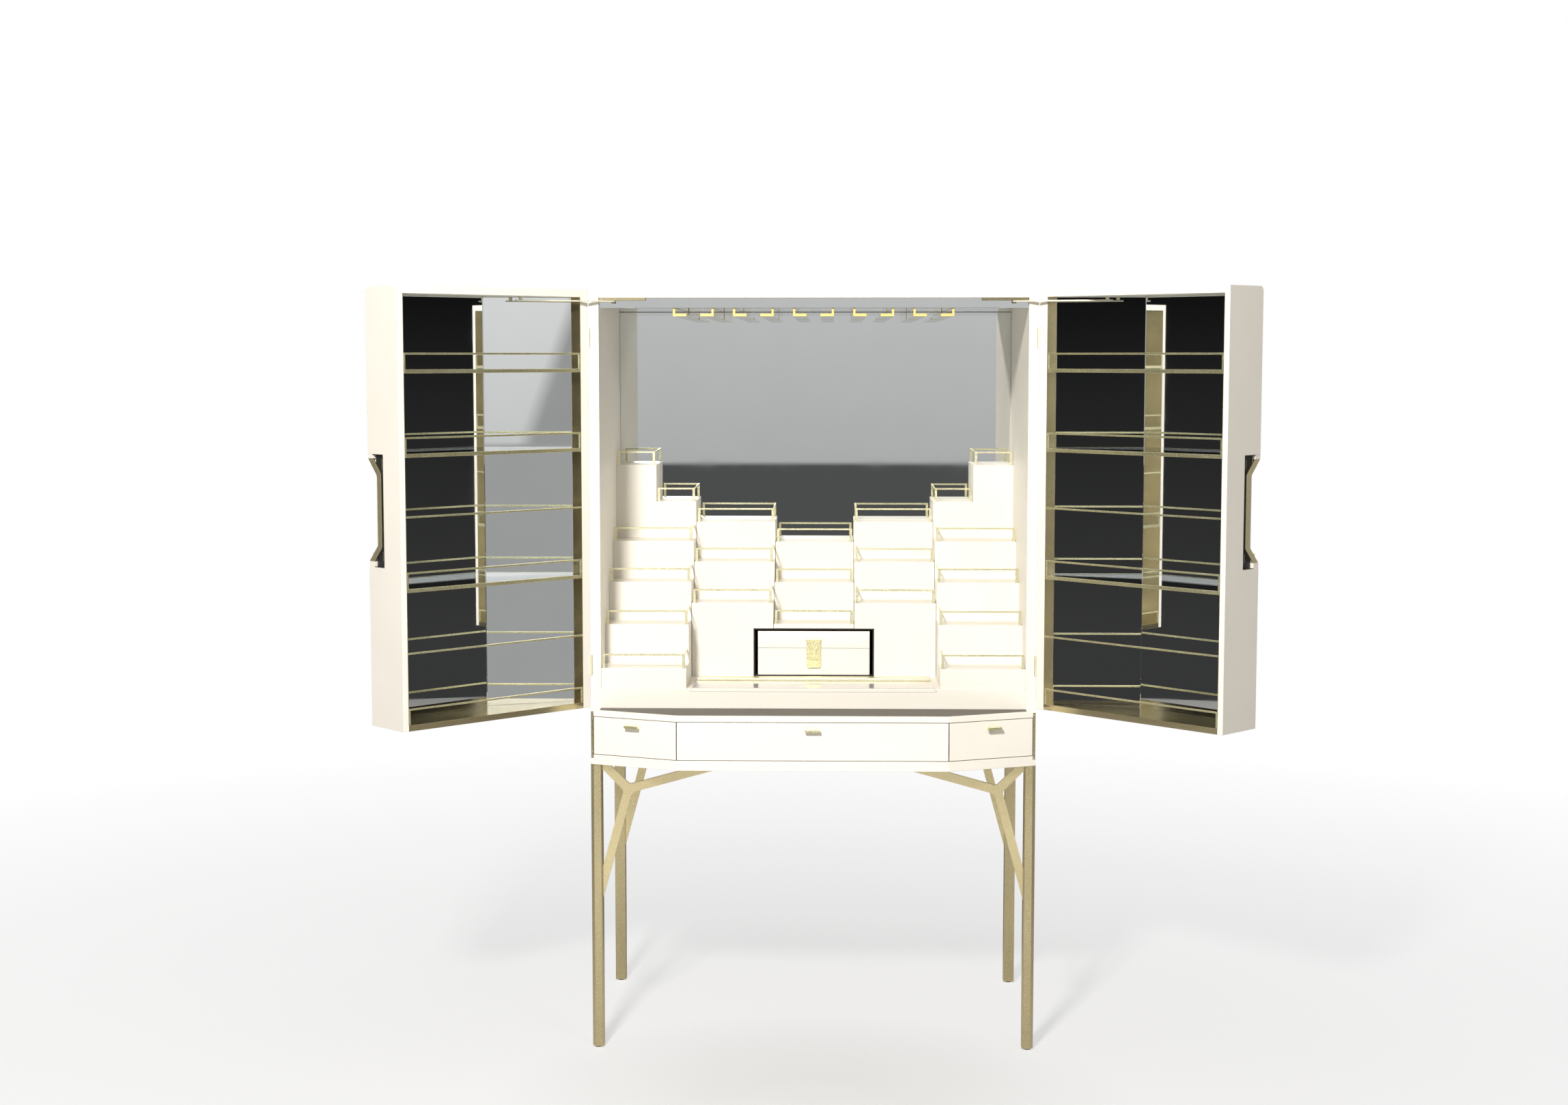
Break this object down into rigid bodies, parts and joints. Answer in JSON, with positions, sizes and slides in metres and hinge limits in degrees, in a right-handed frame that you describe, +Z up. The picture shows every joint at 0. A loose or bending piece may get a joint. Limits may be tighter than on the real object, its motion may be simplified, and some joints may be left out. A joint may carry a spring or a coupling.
{
  "type": "bar cabinet",
  "caption": "White lacquer bar cabinet on brass legs, its deep doors open on glass shelves, with a stepped bottle display, glass racks, drawers and a pull-out mirrored shelf.",
  "frame": {"origin": "on the floor, under the middle of the box around the cabinet with its doors open", "axes": "+X to the right seen from the front, +Y to the back, +Z up"},
  "size_m": [1.8884, 0.8818, 1.713],
  "materials": {
    "white_lacquer": "satin lacquer",
    "plain_wood": "clear satin",
    "brass": "brushed",
    "glass": "clear",
    "mirror": "silvered",
    "bronze_inlay": "satin",
    "black_lining": "matt",
    "steel": "brushed",
    "glide": "matt"
  },
  "bodies": {
    "cabinet": {"legs": "brass", "foot_glides": "glide", "leg_braces": "brass", "side_arms": "brass", "base_bottom": "white_lacquer", "base_top": "white_lacquer", "base_inlay": "bronze_inlay", "corner_strips": "brass", "strip_screws": "steel", "base_uprights": "white_lacquer", "base_back": "white_lacquer", "drawer_runners": "steel", "carcass_sides": "white_lacquer", "carcass_bottom": "white_lacquer", "carcass_top": "white_lacquer", "carcass_back": "white_lacquer", "mirror_backer": "plain_wood", "back_mirror": "mirror", "soffit": "white_lacquer", "glass_racks": "brass", "steps_outer": "white_lacquer", "steps_inner": "white_lacquer", "steps_centre": "white_lacquer", "niche_liner": "black_lining", "step_rails": "brass", "hinges_fixed": "brass", "stay_tracks": "brass"},
    "door_left": {"door_shell_left": "white_lacquer", "door_mirrors_left": "mirror", "door_lining_left": "brass", "door_shelves_left": "glass", "door_rails_left": "brass", "door_pocket_left": "black_lining", "door_handle_left": "brass", "door_fittings_left": "brass"},
    "stay_left": {"stay_rod_left": "brass"},
    "door_right": {"door_shell_right": "white_lacquer", "door_mirrors_right": "mirror", "door_lining_right": "brass", "door_shelves_right": "glass", "door_rails_right": "brass", "door_pocket_right": "black_lining", "door_handle_right": "brass", "door_fittings_right": "brass"},
    "stay_right": {"stay_rod_right": "brass"},
    "drawer_centre": {"drawer_front_centre": "white_lacquer", "drawer_box_centre": "plain_wood", "drawer_pull_centre": "brass"},
    "drawer_left": {"drawer_front_left": "white_lacquer", "drawer_box_left": "plain_wood", "drawer_pull_left": "brass"},
    "drawer_right": {"drawer_front_right": "white_lacquer", "drawer_box_right": "plain_wood", "drawer_pull_right": "brass"},
    "shelf": {"serving_shelf": "white_lacquer", "serving_shelf_mirror": "mirror", "serving_shelf_bar": "brass"},
    "case": {"case_body": "white_lacquer", "case_lid": "white_lacquer"},
    "hasp": {"case_hasp": "brass"}
  },
  "joints": [
    {"name": "door_left_swing", "type": "hinge", "parent": "cabinet", "child": "door_left", "pos_m": [-0.5, -0.09409, 1.245], "axis": [0, 0, -1], "range_deg": [-135.8, 0]},
    {"name": "door_right_swing", "type": "hinge", "parent": "cabinet", "child": "door_right", "pos_m": [0.5, -0.09409, 1.245], "axis": [0, 0, 1], "range_deg": [-135.8, 0]},
    {"name": "stay_left_swing", "type": "hinge", "parent": "cabinet", "child": "stay_left", "pos_m": [-0.445, -0.0871, 1.688], "axis": [0, 0, -1], "range_deg": [-131.57, 0]},
    {"name": "stay_right_swing", "type": "hinge", "parent": "cabinet", "child": "stay_right", "pos_m": [0.445, -0.0871, 1.688], "axis": [0, 0, 1], "range_deg": [-131.57, 0]},
    {"name": "drawer_centre_slide", "type": "slide", "parent": "cabinet", "child": "drawer_centre", "axis": [0, -1, 0], "range_m": [0, 0.3]},
    {"name": "drawer_left_slide", "type": "slide", "parent": "cabinet", "child": "drawer_left", "axis": [0, -1, 0], "range_m": [0, 0.3]},
    {"name": "drawer_right_slide", "type": "slide", "parent": "cabinet", "child": "drawer_right", "axis": [0, -1, 0], "range_m": [0, 0.3]},
    {"name": "serving_shelf_slide", "type": "slide", "parent": "cabinet", "child": "shelf", "axis": [0, -1, 0], "range_m": [0, 0.13]},
    {"name": "case_slide", "type": "slide", "parent": "cabinet", "child": "case", "axis": [0, -1, 0], "range_m": [0, 0.045]},
    {"name": "hasp_swing", "type": "hinge", "parent": "case", "child": "hasp", "pos_m": [0, 0.1033, 0.9058], "axis": [-1, 0, 0], "range_deg": [0, 80]}
  ],
  "couplings": [
    {"joint": "stay_left_swing", "follows": "door_left_swing", "ratio": 0.9652},
    {"joint": "stay_right_swing", "follows": "door_right_swing", "ratio": 0.9652}
  ]
}
